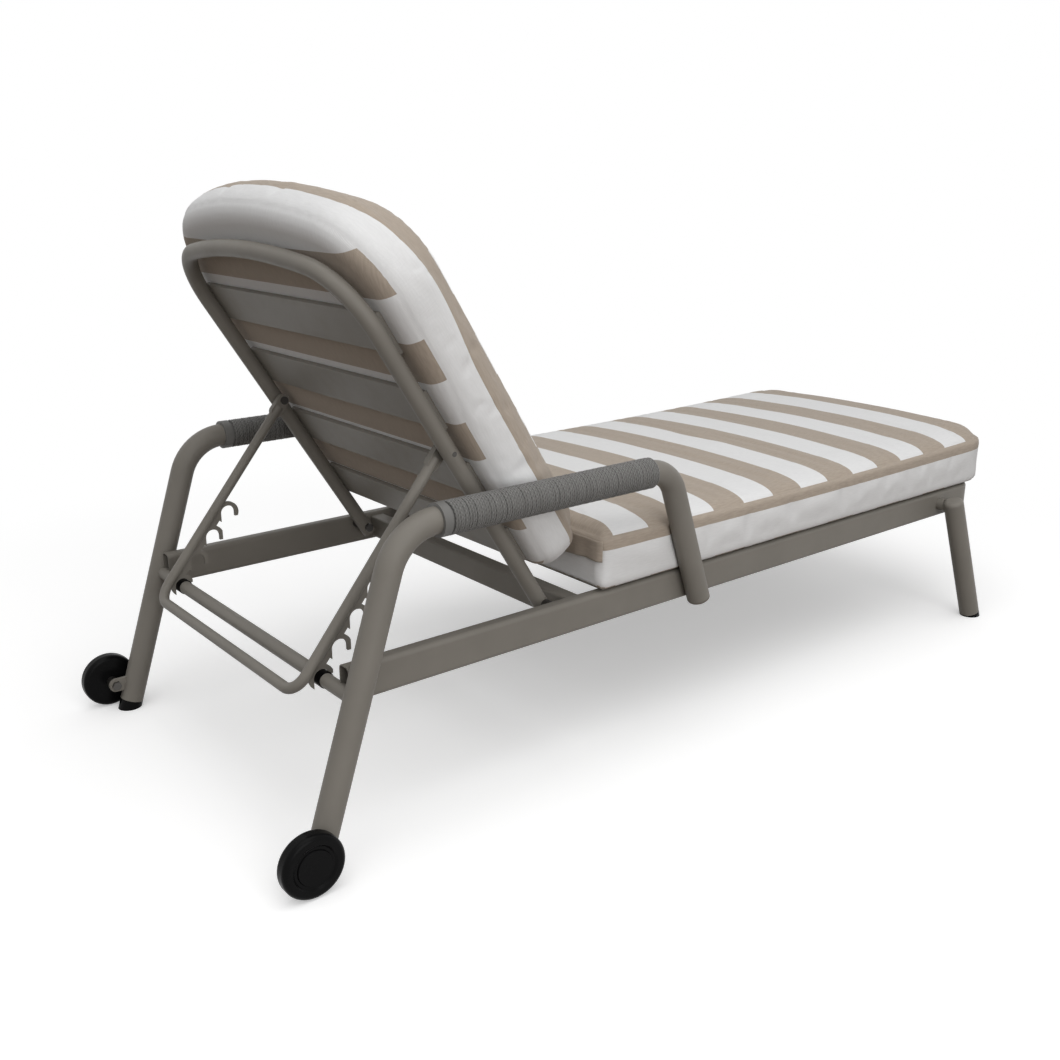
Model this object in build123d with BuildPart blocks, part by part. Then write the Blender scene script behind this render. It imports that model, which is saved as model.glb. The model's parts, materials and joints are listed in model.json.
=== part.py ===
"""Reclining sun lounger on a tube frame, with rope-wrapped arms, a hooked prop and a striped cushion.

Units are millimetres. +X runs to the foot end, +Y to the left side, +Z up, with the floor at Z = 0.
The backrest is drawn propped at its steepest hook.
"""

import os
from math import asin, atan2, cos, dist, hypot, pi, radians, sin, tan

from build123d import *

os.makedirs("parts", exist_ok=True)

# Overall layout
overall_len = 1789.0        # back of the wheels to the front of the seat cushion
hinge_run = 491.0           # wheel axle to the backrest hinge
cushion_overhang = 46.0     # seat cushion past the front rail

# Wheels and their brackets
wheel_r = 48.0
wheel_w = 26.0
wheel_rim = 8.0             # rounded rim
dish_r = 34.0               # shallow dish in the outer face
dish_depth = 3.0
dish_slope = 45.0
boss_r = 27.0               # raised middle of the dish
boss_h = 2.0
boss_slope = 30.0
wheel_lift = 0.5            # tread above the floor until the lounger is tipped
wheel_gap = 3.0             # arm leg to wheel
axle_r = 5.0
axle_shoulder_r = 9.0
axle_reach = 17.0           # length of axle inside the wheel
bolt_head_r = 8.5
bolt_head_h = 5.0
bracket_t = 6.0
bracket_h = 24.0
run_fit = 0.05              # radial running clearance on pins and axles
face_fit = 0.3              # side clearance between turning faces

# Arm hoops: rear leg, armrest and front post in one bent tube
arm_r = 20.0
arm_wall = 2.0
arm_room = 13.0             # seat cushion's side to the arm tube's axis
arm_z = 480.0               # armrest axis height
arm_len = 520.0             # armrest between the two bend corners
leg_rake = 18.3             # rear leg from upright
leg_lead = 21.0             # rear foot ahead of the wheel axle
post_rake = 19.3            # front post from upright
post_up = 5.0               # post end above the rail's lower face
arm_rear_bend = 84.0
arm_front_bend = 60.0
foot_h = 14.0               # height of the tube end on its foot
plug_depth = 15.0
plug_fit = 0.1
plug_lip = 6.0
plug_round = 4.5

# Rope wrap on the armrests
core_wall = 1.0
core_fit = 0.05
collar_len = 14.0
rope_r = 1.9
rope_fit = 0.3
rope_turns = 24             # loops of the winding
rope_margin = 5.0           # bare core at either end of the winding

# Side rails and front rail, a rounded box tube
rail_top = 288.0
rail_h = 55.0
rail_w = 26.0
rail_wall = 2.0
rail_round = 8.0
rail_corner = 45.0          # bend radius on the tube axis
corner_run = 12.0           # straight end of the front rail past its bend
weld_seat = 0.8             # depth of the saddle where a round tube meets a flat one

# Front legs
front_leg_r = 20.5
front_leg_inset = 141.0     # front rail face to the leg at rail height
front_rake = 18.7
front_splay = 3.4
leg_drop = 12.0             # leg top below the rail top
leg_cap = 10.0              # solid top of the leg
leg_round = 8.0
stub_len = 15.0
stub_r = 13.0
glide_h = 9.0

# Crossbar for the prop hooks
bar_r = 11.0
bar_wall = 2.0
bar_z = 247.0
sleeve_wall = 1.5
sleeve_len = 30.0

# Hinge beam and seat slats
beam_w = 30.0
beam_h = 42.0
beam_round = 4.0
beam_lead = 32.0            # hinge axis to beam
beam_drop = 6.0             # beam top below the rail top
slat_pitch = 119.0
slat_w = 83.0
slat_t = 6.0
slat_lead = 31.0            # beam to first slat
slat_inset = 10.0           # slat end inside the outer rail face
slat_round = 2.0

# Backrest
back_angle = 58.0           # above flat
hinge_drop = 13.5           # hinge axis below the rail top
hoop_r = 13.0
hoop_wall = 2.0
hoop_gap = 29.8             # rail's inner face to the hoop's axis
hoop_len = 659.0            # hinge axis to the top of the hoop axis
hoop_bow = 1050.0           # bow of the top bar
hoop_corner = 105.0
hoop_tail = 16.0            # tube past the hinge axis
pivot_r = 5.0
pivot_head_r = 8.0
pivot_head_h = 5.0
spacer_r = 10.0
back_slat_count = 4
back_slat_first = 119.5     # hinge axis to the middle of the lowest slat
back_slat_head = 130.0      # middle of the highest slat to the top of the hoop axis
back_slat_w = 70.0
back_slat_t = 8.0
back_slat_rise = 6.2        # slat face proud of the hoop

# Prop
prop_at = 325.0             # hinge axis to the prop pivot, along the hoop
bail_r = 8.5
bail_wall = 1.6
bail_gap = 3.0              # hoop to bail
bail_bend = 32.0
bail_tail = 38.5            # bail past its last notch
eye_r = 10.5
eye_t = 11.0                # flattened end of the bail
eye_len = 24.0              # flat past the pin
eye_start = 14.0            # pin to the round tube
prop_pin_r = 4.0
prop_head_r = 7.2
prop_head_h = 2.5
hook_t = 5.0
hook_web = 2.6              # plate between the bail and a notch
hook_finger = 7.2
hook_root = 1.0             # plate sunk in the tube wall
hook_reach = 8.0            # finger tip below a notch's centre
hook_lip = -2.5             # the same on the last notch
notch_pitch = 49.8
notch_count = 4
notch_fit = 0.4

# Cushions
cushion_fit = 0.3           # cushion to slats and posts
corner_min = 12.0           # least corner of an inner section
round_steps = 4             # sections in each rounded edge
seat_w = 666.0
seat_start = 78.0           # hinge axis to the seat cushion
seat_t = 84.0               # height of the seam round the upper panel
seat_bow = 6000.0
seat_front_corner = 80.0
seat_rear_corner = 12.0
seat_low_in, seat_low_h = 5.0, 10.0     # rounding of the lower edge
seat_top_in, seat_top_h = 10.0, 14.0    # rounding of the upper edge
seat_roll, seat_roll_in = 15.0, 45.0    # rise of the upper panel along its edge
seat_crown, seat_crown_in = 10.0, 220.0     # slow rise across it
seat_tilt = 0.4             # thicker towards the foot end
back_gap = 0.85             # back cushion to the rope wrap
back_start = 52.0           # hinge axis to the back cushion, along the backrest
back_len = 669.0
back_t = 76.0
back_bow = 1016.0
back_top_corner = 148.0
back_low_corner = 50.0
back_low_in, back_low_h = 33.0, 38.0
back_top_in, back_top_h = 12.0, 16.0
back_roll, back_roll_in = 41.0, 66.0
back_crown, back_crown_in = 3.0, 200.0
join_t = 3.0                # cloth that ties the two cushions together
join_h = 26.0
join_drop = 9.0             # its top edge below the seat cushion's

sides = (("left", 1), ("right", -1))

# Stations worked out from the sizes above
x_wheel = -overall_len / 2 + wheel_r
z_wheel = wheel_r + wheel_lift
x_leg = x_wheel + leg_lead
x_hinge = x_wheel + hinge_run
z_hinge = rail_top - hinge_drop
x_seat_front = overall_len / 2
x_front = x_seat_front - cushion_overhang
leg_run = tan(radians(leg_rake))
post_run = tan(radians(post_rake))
x_arm_rear = x_leg + arm_z * leg_run
x_arm_front = x_arm_rear + arm_len
x_bar = x_leg + bar_z * leg_run
arm_y = seat_w / 2 + arm_room
rail_outer = arm_y - arm_r + weld_seat
rail_axis = rail_outer - rail_w / 2
rail_inner = rail_outer - rail_w
rail_mid = rail_top - rail_h / 2
rail_bottom = rail_top - rail_h
sleeve_r = bar_r + sleeve_wall
x_beam = x_hinge + beam_lead + beam_w / 2
core_r = arm_r + core_fit + core_wall
wind_r = core_r + rope_fit + rope_r
hoop_y = rail_inner - hoop_gap
back_w = 2 * (arm_y - wind_r - rope_r - back_gap)

# Backrest directions: up along the hoop, and out of its front
back_up = Vector(-cos(radians(back_angle)), 0, sin(radians(back_angle)))
back_out = Vector(sin(radians(back_angle)), 0, cos(radians(back_angle)))
hinge = Vector(x_hinge, 0, z_hinge)

# Prop: the last notch sits round the crossbar
notch_r = sleeve_r + notch_fit
notch_off = bail_r + hook_web + notch_r
bail_y = hoop_y - hoop_r - bail_gap - bail_r
prop = hinge + back_up * prop_at
span = hypot(x_bar - prop.X, bar_z - prop.Z)
last_notch = (span**2 - notch_off**2) ** 0.5
bail_turn = atan2(bar_z - prop.Z, x_bar - prop.X) - asin(notch_off / span)
bail_dir = Vector(cos(bail_turn), 0, sin(bail_turn))
bail_end = prop + bail_dir * (last_notch + bail_tail)


def bowed_end(end, half, bow, corner):
    """Where a bowed end's corner starts, its middle, and where it meets the bow."""
    corner_y = half - corner
    corner_x = end - bow + ((bow - corner) ** 2 - corner_y**2) ** 0.5
    lean = atan2(corner_y, corner_x - end + bow)
    mid = pi / 4 + lean / 2
    on_mid = (corner_x + corner * cos(mid), corner_y + corner * sin(mid))
    return corner_x, on_mid, (end - bow + bow * cos(lean), bow * sin(lean))


def cushion_rows(thick, low_in, low_h, top_in, top_h, roll, roll_in, crown, crown_in):
    """Rise and inset of each section, from the lower panel up."""
    quarter = [i * pi / 2 / round_steps for i in range(round_steps + 1)]
    low = [(low_h * (1 - cos(a)), low_in * (1 - sin(a))) for a in quarter]
    top = [(thick - top_h * (1 - sin(a)), top_in * (1 - cos(a))) for a in quarter]
    edge = [top_in + (roll_in - top_in) * i / round_steps for i in range(1, round_steps + 1)]
    middle = [roll_in + (crown_in - roll_in) * i / round_steps for i in range(1, round_steps + 1)]
    dome = []
    for inset in edge + middle:
        rolled = sin(pi / 2 * min(1, (inset - top_in) / (roll_in - top_in)))
        crowned = sin(pi / 2 * (inset - top_in) / (crown_in - top_in))
        dome.append((thick + roll * rolled + crown * crowned, inset))
    return low + top + dome


for side, s in sides:
    y = s * arm_y
    leg_dir = Vector(-leg_run, 0, -1).normalized()
    post_dir = Vector(post_run, 0, -1).normalized()
    leg_end = Vector(x_leg + foot_h * leg_run, y, foot_h)
    post_z = rail_bottom + post_up
    post_end = Vector(x_arm_front + (arm_z - post_z) * post_run, y, post_z)

    with BuildPart() as arm_hoop:
        with BuildLine() as arm_axis:
            FilletPolyline(
                leg_end, (x_arm_rear, y, arm_z), (x_arm_front, y, arm_z), post_end,
                radius=(arm_rear_bend, arm_front_bend),
            )
        with BuildSketch(Plane(leg_end, z_dir=-leg_dir)):
            Circle(arm_r)
            Circle(arm_r - arm_wall, mode=Mode.SUBTRACT)
        sweep()
    arm_hoop.part.label = f"arm_hoop_{side}"
    export_step(arm_hoop.part, f"parts/arm_hoop_{side}.step")

    # Rear foot: cut level with the floor, plugged into the tube
    with BuildPart() as rear_foot:
        with BuildSketch(Plane(leg_end, z_dir=leg_dir)):
            Circle(arm_r)
        extrude(amount=2 * arm_r)
        split(bisect_by=Plane.XY, keep=Keep.TOP)
        with BuildSketch(Plane(leg_end, z_dir=-leg_dir)):
            Circle(arm_r - arm_wall - plug_fit)
        extrude(amount=plug_depth)
    rear_foot.part.label = f"rear_foot_{side}"
    export_step(rear_foot.part, f"parts/rear_foot_{side}.step")

    with BuildPart() as post_plug:
        with BuildSketch(Plane(post_end, z_dir=post_dir)):
            Circle(arm_r)
        extrude(amount=plug_lip)
        fillet(post_plug.faces().sort_by(Axis.Z)[0].edges(), plug_round)
        with BuildSketch(Plane(post_end, z_dir=-post_dir)):
            Circle(arm_r - arm_wall - plug_fit)
        extrude(amount=plug_depth)
    post_plug.part.label = f"post_plug_{side}"
    export_step(post_plug.part, f"parts/post_plug_{side}.step")

    # Rope wrap: a sleeve with a collar at its rear end, and the winding over it
    wrap_start = x_arm_rear + arm_rear_bend * tan(radians(90 - leg_rake) / 2)
    wrap_end = x_arm_front - arm_front_bend * tan(radians(90 - post_rake) / 2)
    with BuildPart() as arm_core:
        with BuildSketch(Plane((wrap_start, y, arm_z), z_dir=(1, 0, 0))):
            Circle(core_r)
            Circle(arm_r + core_fit, mode=Mode.SUBTRACT)
        extrude(amount=wrap_end - wrap_start)
        with BuildSketch(Plane((wrap_start, y, arm_z), z_dir=(1, 0, 0))):
            Circle(wind_r + rope_r)
            Circle(core_r, mode=Mode.SUBTRACT)
        extrude(amount=collar_len)
    arm_core.part.label = f"arm_core_{side}"
    export_step(arm_core.part, f"parts/arm_core_{side}.step")

    # The winding is a row of biarcs, one to each half turn
    wind_x = wrap_start + collar_len + rope_margin
    wind_pitch = (wrap_end - rope_margin - wind_x) / rope_turns
    rise = wind_pitch / (2 * pi)
    stops, heads = [], []
    for half in range(2 * rope_turns + 1):
        a = pi * half
        stops.append(Vector(wind_x + rise * a, y + wind_r * sin(a), arm_z + wind_r * cos(a)))
        heads.append(Vector(rise, wind_r * cos(a), -wind_r * sin(a)).normalized())
    with BuildPart() as arm_rope:
        with BuildLine() as winding:
            Line(stops[0] - heads[0] * 2 * rope_r, stops[0])
            for p, q, t, u in zip(stops, stops[1:], heads, heads[1:]):
                gap, lean, turn = q - p, (q - p).dot(t + u), 2 * (1 - t.dot(u))
                reach = ((lean**2 + turn * gap.dot(gap)) ** 0.5 - lean) / turn
                meet = (p + q + (t - u) * reach) * 0.5
                TangentArc(p, meet, tangent=t)
                TangentArc(q, meet, tangent=-u)
            Line(stops[-1], stops[-1] + heads[-1] * 2 * rope_r)
        with BuildSketch(Plane(winding.line @ 0, z_dir=winding.line % 0)):
            Circle(rope_r)
        sweep()
    arm_rope.part.label = f"arm_rope_{side}"
    export_step(arm_rope.part, f"parts/arm_rope_{side}.step")
    steps = 24
    track = [winding.line @ (i / (rope_turns * steps)) for i in range(rope_turns * steps + 1)]
    least = min(
        dist(tuple(track[i]), tuple(track[j]))
        for i in range(len(track)) for j in range(i + steps // 2, min(i + 2 * steps, len(track)))
    )
    print(f"arm_rope_{side}: least gap to itself {least - 2 * rope_r:.2f} mm")

    # Wheel bracket: a flat tab from the back of the leg to the axle
    axle = Vector(x_wheel, y, z_wheel)
    leg_at_axle = Vector(x_leg + z_wheel * leg_run, y, z_wheel)
    with BuildPart() as wheel_bracket:
        with BuildSketch(Plane(axle, x_dir=(1, 0, 0), z_dir=(0, -1, 0))):
            with BuildLine():
                Polyline(
                    (0, bracket_h / 2), (leg_at_axle.X - x_wheel, bracket_h / 2),
                    (leg_at_axle.X - x_wheel, -bracket_h / 2), (0, -bracket_h / 2),
                )
                ThreePointArc((0, -bracket_h / 2), (-bracket_h / 2, 0), (0, bracket_h / 2))
            make_face()
            Circle(axle_r, mode=Mode.SUBTRACT)
        extrude(amount=bracket_t / 2, both=True)
        with BuildSketch(Plane(leg_at_axle, z_dir=leg_dir)):
            Circle(arm_r)
        extrude(amount=2 * arm_r, both=True, mode=Mode.SUBTRACT)
    wheel_bracket.part.label = f"wheel_bracket_{side}"
    export_step(wheel_bracket.part, f"parts/wheel_bracket_{side}.step")

    # Axle: head inside the bracket, shoulder outside it, journal in the wheel
    out = Plane(axle, x_dir=(1, 0, 0), z_dir=(0, s, 0))
    wheel_in = arm_r + wheel_gap
    with BuildPart() as axle_bolt:
        with BuildSketch(out.offset(-bracket_t / 2 - bolt_head_h)):
            RegularPolygon(bolt_head_r, 6)
        extrude(amount=bolt_head_h)
        with BuildSketch(out.offset(-bracket_t / 2)):
            Circle(axle_r)
        extrude(amount=bracket_t / 2 + wheel_in + axle_reach)
        with BuildSketch(out.offset(bracket_t / 2)):
            Circle(axle_shoulder_r)
        extrude(amount=wheel_in - bracket_t / 2 - face_fit)
    axle_bolt.part.label = f"axle_bolt_{side}"
    export_step(axle_bolt.part, f"parts/axle_bolt_{side}.step")

    with BuildPart() as wheel:
        with BuildSketch(out.offset(wheel_in)):
            Circle(wheel_r)
        extrude(amount=wheel_w)
        fillet(wheel.edges().filter_by(GeomType.CIRCLE), wheel_rim)
        outer_face = out.offset(wheel_in + wheel_w)
        with BuildSketch(outer_face):
            Circle(dish_r)
        extrude(amount=-dish_depth, taper=dish_slope, mode=Mode.SUBTRACT)
        with BuildSketch(outer_face.offset(-dish_depth)):
            Circle(boss_r)
        extrude(amount=boss_h, taper=boss_slope)
        with BuildSketch(out.offset(wheel_in)):
            Circle(axle_r + run_fit)
        extrude(amount=axle_reach + face_fit, mode=Mode.SUBTRACT)
    wheel.part.label = f"wheel_{side}"
    export_step(wheel.part, f"parts/wheel_{side}.step")

    # Front leg, raked forward and splayed out from a stub on the rail
    front_dir = Vector(tan(radians(front_rake)), s * tan(radians(front_splay)), -1)
    stub_root = Vector(x_front - front_leg_inset, s * rail_outer, rail_mid)
    leg_mid = stub_root + Vector(0, s * (stub_len + front_leg_r), 0)
    leg_top = leg_mid - front_dir * (rail_top - leg_drop - rail_mid)
    glide_top = leg_mid + front_dir * (rail_mid - glide_h)
    with BuildPart() as front_leg:
        with BuildSketch(Plane(leg_top, z_dir=front_dir)):
            Circle(front_leg_r)
        extrude(amount=(glide_top - leg_top).length)
        fillet(front_leg.faces().sort_by(Axis.Z)[-1].edges(), leg_round)
        with BuildSketch(Plane(glide_top, z_dir=-front_dir)):
            Circle(front_leg_r - arm_wall)
        extrude(amount=(glide_top - leg_top).length - leg_cap, mode=Mode.SUBTRACT)
    front_leg.part.label = f"front_leg_{side}"
    export_step(front_leg.part, f"parts/front_leg_{side}.step")

    with BuildPart() as leg_stub:
        with BuildSketch(Plane(stub_root, x_dir=(1, 0, 0), z_dir=(0, s, 0))):
            Circle(stub_r)
        extrude(amount=stub_len + front_leg_r)
        with BuildSketch(Plane(leg_mid, z_dir=front_dir)):
            Circle(front_leg_r)
        extrude(amount=rail_h, both=True, mode=Mode.SUBTRACT)
    leg_stub.part.label = f"leg_stub_{side}"
    export_step(leg_stub.part, f"parts/leg_stub_{side}.step")

    with BuildPart() as front_glide:
        with BuildSketch(Plane(glide_top, z_dir=front_dir)):
            Circle(front_leg_r)
        extrude(amount=2 * front_leg_r)
        split(bisect_by=Plane.XY, keep=Keep.TOP)
        with BuildSketch(Plane(glide_top, z_dir=-front_dir)):
            Circle(front_leg_r - arm_wall - plug_fit)
        extrude(amount=plug_depth)
    front_glide.part.label = f"front_glide_{side}"
    export_step(front_glide.part, f"parts/front_glide_{side}.step")

    # Side rail: seated against the crossbar, the leg and the post
    x_rail_end = x_front - rail_w / 2 - rail_corner - corner_run
    with BuildPart() as side_rail:
        with BuildSketch(Plane((x_bar, s * rail_axis, rail_mid), x_dir=(0, 1, 0), z_dir=(1, 0, 0))):
            RectangleRounded(rail_w, rail_h, rail_round)
            RectangleRounded(
                rail_w - 2 * rail_wall, rail_h - 2 * rail_wall, rail_round - rail_wall, mode=Mode.SUBTRACT
            )
        extrude(amount=x_rail_end - x_bar)
        with BuildSketch(Plane((x_bar, 0, bar_z), x_dir=(1, 0, 0), z_dir=(0, 1, 0))):
            Circle(bar_r)
        extrude(amount=arm_y, both=True, mode=Mode.SUBTRACT)
        with BuildSketch(Plane((x_bar, y, bar_z), z_dir=leg_dir)):
            Circle(arm_r)
        extrude(amount=2 * rail_h, both=True, mode=Mode.SUBTRACT)
        with BuildSketch(Plane(post_end, z_dir=post_dir)):
            Circle(arm_r)
        extrude(amount=2 * rail_h, both=True, mode=Mode.SUBTRACT)
    side_rail.part.label = f"side_rail_{side}"
    export_step(side_rail.part, f"parts/side_rail_{side}.step")

    # Crossbar sleeve where the hook sits
    with BuildPart() as bar_sleeve:
        with BuildSketch(Plane((x_bar, s * bail_y, bar_z), x_dir=(1, 0, 0), z_dir=(0, 1, 0))):
            Circle(sleeve_r)
            Circle(bar_r, mode=Mode.SUBTRACT)
        extrude(amount=sleeve_len / 2, both=True)
    bar_sleeve.part.label = f"bar_sleeve_{side}"
    export_step(bar_sleeve.part, f"parts/bar_sleeve_{side}.step")

    # Hinge: spacer and bolt on the rail, with the bolt head inside the hoop
    hinge_plane = Plane((x_hinge, s * rail_inner, z_hinge), x_dir=(1, 0, 0), z_dir=(0, -s, 0))
    spacer_len = rail_inner - hoop_y - hoop_r - face_fit
    with BuildPart() as hinge_bolt:
        with BuildSketch(hinge_plane):
            Circle(spacer_r)
        extrude(amount=spacer_len)
        with BuildSketch(hinge_plane):
            Circle(pivot_r)
        extrude(amount=spacer_len + 2 * hoop_r + 2 * face_fit)
        with BuildSketch(hinge_plane.offset(spacer_len + 2 * hoop_r + 2 * face_fit)):
            Circle(pivot_head_r)
        extrude(amount=pivot_head_h)
    hinge_bolt.part.label = f"hinge_bolt_{side}"
    export_step(hinge_bolt.part, f"parts/hinge_bolt_{side}.step")

# Front rail with its two rounded corners
with BuildPart() as front_rail:
    with BuildLine() as front_axis:
        FilletPolyline(
            (x_rail_end, rail_axis, rail_mid), (x_front - rail_w / 2, rail_axis, rail_mid),
            (x_front - rail_w / 2, -rail_axis, rail_mid), (x_rail_end, -rail_axis, rail_mid),
            radius=rail_corner,
        )
    with BuildSketch(Plane((x_rail_end, rail_axis, rail_mid), x_dir=(0, 1, 0), z_dir=(1, 0, 0))):
        RectangleRounded(rail_w, rail_h, rail_round)
        RectangleRounded(
            rail_w - 2 * rail_wall, rail_h - 2 * rail_wall, rail_round - rail_wall, mode=Mode.SUBTRACT
        )
    sweep()
front_rail.part.label = "front_rail"
export_step(front_rail.part, "parts/front_rail.step")

with BuildPart() as crossbar:
    with BuildSketch(Plane((x_bar, 0, bar_z), x_dir=(1, 0, 0), z_dir=(0, 1, 0))):
        Circle(bar_r)
        Circle(bar_r - bar_wall, mode=Mode.SUBTRACT)
    extrude(amount=arm_y, both=True)
    for side, s in sides:
        with BuildSketch(Plane((x_bar, s * arm_y, bar_z), z_dir=(leg_run, 0, 1))):
            Circle(arm_r)
        extrude(amount=2 * arm_r, both=True, mode=Mode.SUBTRACT)
crossbar.part.label = "crossbar"
export_step(crossbar.part, "parts/crossbar.step")

with BuildPart() as hinge_beam:
    with BuildSketch(Plane((x_beam, 0, rail_top - beam_drop - beam_h / 2), x_dir=(1, 0, 0), z_dir=(0, 1, 0))):
        RectangleRounded(beam_w, beam_h, beam_round)
        RectangleRounded(
            beam_w - 2 * rail_wall, beam_h - 2 * rail_wall, beam_round - rail_wall / 2, mode=Mode.SUBTRACT
        )
    extrude(amount=rail_inner, both=True)
hinge_beam.part.label = "hinge_beam"
export_step(hinge_beam.part, "parts/hinge_beam.step")

# Seat slats on top of the rails
slat_x = x_beam + beam_w / 2 + slat_lead + slat_w / 2
slat_count = int((x_front - rail_w - slat_w / 2 - slat_x) // slat_pitch) + 1
for n in range(slat_count):
    with BuildPart() as seat_slat:
        with BuildSketch(Plane.XY.offset(rail_top)):
            with Locations((slat_x + n * slat_pitch, 0)):
                Rectangle(slat_w, 2 * (rail_outer - slat_inset))
        extrude(amount=slat_t)
        fillet(seat_slat.edges().filter_by(Axis.Y).group_by(Axis.Z)[-1], slat_round)
    seat_slat.part.label = f"seat_slat_{n + 1}"
    export_step(seat_slat.part, f"parts/seat_slat_{n + 1}.step")

# Backrest hoop: two straight sides, two corners and a bowed top
corner_v, on_mid, on_bow = bowed_end(hoop_len, hoop_y, hoop_bow, hoop_corner)
back_plane = Plane(hinge, x_dir=back_up, z_dir=back_out)
with BuildPart() as backrest_hoop:
    with BuildLine(back_plane) as hoop_axis:
        Line((-hoop_tail, hoop_y), (corner_v, hoop_y))
        ThreePointArc((corner_v, hoop_y), on_mid, on_bow)
        ThreePointArc(on_bow, (hoop_len, 0), (on_bow[0], -on_bow[1]))
        ThreePointArc((on_bow[0], -on_bow[1]), (on_mid[0], -on_mid[1]), (corner_v, -hoop_y))
        Line((corner_v, -hoop_y), (-hoop_tail, -hoop_y))
    with BuildSketch(Plane(hoop_axis.line @ 0, z_dir=hoop_axis.line % 0)):
        Circle(hoop_r)
        Circle(hoop_r - hoop_wall, mode=Mode.SUBTRACT)
    sweep()
    for side, s in sides:
        with BuildSketch(Plane(hinge + Vector(0, s * hoop_y, 0) - back_up * hoop_tail, z_dir=back_up)):
            Circle(hoop_r - hoop_wall)
        extrude(amount=hoop_wall)
    with BuildSketch(Plane(hinge, x_dir=(1, 0, 0), z_dir=(0, 1, 0))):
        Circle(pivot_r + run_fit)
    extrude(amount=rail_inner, both=True, mode=Mode.SUBTRACT)
    with BuildSketch(Plane(prop, x_dir=(1, 0, 0), z_dir=(0, 1, 0))):
        Circle(prop_pin_r)
    extrude(amount=rail_inner, both=True, mode=Mode.SUBTRACT)
backrest_hoop.part.label = "backrest_hoop"
export_step(backrest_hoop.part, "parts/backrest_hoop.step")

# Backrest slats, let into the front of the hoop
back_slat_pitch = (hoop_len - back_slat_first - back_slat_head) / (back_slat_count - 1)
for n in range(back_slat_count):
    v = back_slat_first + n * back_slat_pitch
    with BuildPart() as back_slat:
        with BuildSketch(back_plane.offset(hoop_r + back_slat_rise - back_slat_t)):
            with Locations((v, 0)):
                Rectangle(back_slat_w, 2 * hoop_y)
        extrude(amount=back_slat_t)
        fillet(back_slat.edges().filter_by(Axis.Y), slat_round)
        for side, s in sides:
            with BuildSketch(Plane(hinge + Vector(0, s * hoop_y, 0), z_dir=back_up)):
                Circle(hoop_r)
            extrude(amount=hoop_len, mode=Mode.SUBTRACT)
    back_slat.part.label = f"back_slat_{n + 1}"
    export_step(back_slat.part, f"parts/back_slat_{n + 1}.step")

for side, s in sides:
    # Prop pin: through the hoop and the bail's eye, with a collar between them
    inward = Plane(prop + Vector(0, s * (hoop_y + hoop_r), 0), x_dir=(1, 0, 0), z_dir=(0, -s, 0))
    eye_face = 2 * hoop_r + bail_gap + bail_r - eye_t / 2
    through = eye_face + eye_t + face_fit
    with BuildPart() as prop_pin:
        with BuildSketch(inward):
            Circle(prop_pin_r)
        extrude(amount=through)
        with BuildSketch(inward.offset(hoop_r)):
            Circle(prop_head_r)
        extrude(amount=eye_face - hoop_r - face_fit)
        with BuildSketch(Plane(prop + Vector(0, s * hoop_y, 0), z_dir=back_up)):
            Circle(hoop_r)
        extrude(amount=eye_r, both=True, mode=Mode.SUBTRACT)
        with BuildSketch(inward):
            Circle(prop_pin_r)
        extrude(amount=through)
        with BuildSketch(inward.offset(through)):
            Circle(prop_head_r)
        extrude(amount=prop_head_h)
    prop_pin.part.label = f"prop_pin_{side}"
    export_step(prop_pin.part, f"parts/prop_pin_{side}.step")

# Prop bail: a U of thin tube with an eye at either end
with BuildPart() as prop_bail:
    with BuildLine() as bail_axis:
        FilletPolyline(
            prop + bail_dir * eye_start + Vector(0, bail_y, 0), bail_end + Vector(0, bail_y, 0),
            bail_end - Vector(0, bail_y, 0), prop + bail_dir * eye_start - Vector(0, bail_y, 0),
            radius=bail_bend,
        )
    with BuildSketch(Plane(bail_axis.line @ 0, z_dir=bail_axis.line % 0)):
        Circle(bail_r)
        Circle(bail_r - bail_wall, mode=Mode.SUBTRACT)
    sweep()
    for side, s in sides:
        with BuildSketch(Plane(prop + Vector(0, s * bail_y, 0), x_dir=bail_dir, z_dir=(0, 1, 0))):
            with Locations((eye_len / 2, 0)):
                SlotCenterToCenter(eye_len, 2 * eye_r)
        extrude(amount=eye_t / 2, both=True)
    with BuildSketch(Plane(prop, x_dir=(1, 0, 0), z_dir=(0, 1, 0))):
        Circle(prop_pin_r + run_fit)
    extrude(amount=rail_inner, both=True, mode=Mode.SUBTRACT)
prop_bail.part.label = "prop_bail"
export_step(prop_bail.part, "parts/prop_bail.step")

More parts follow.
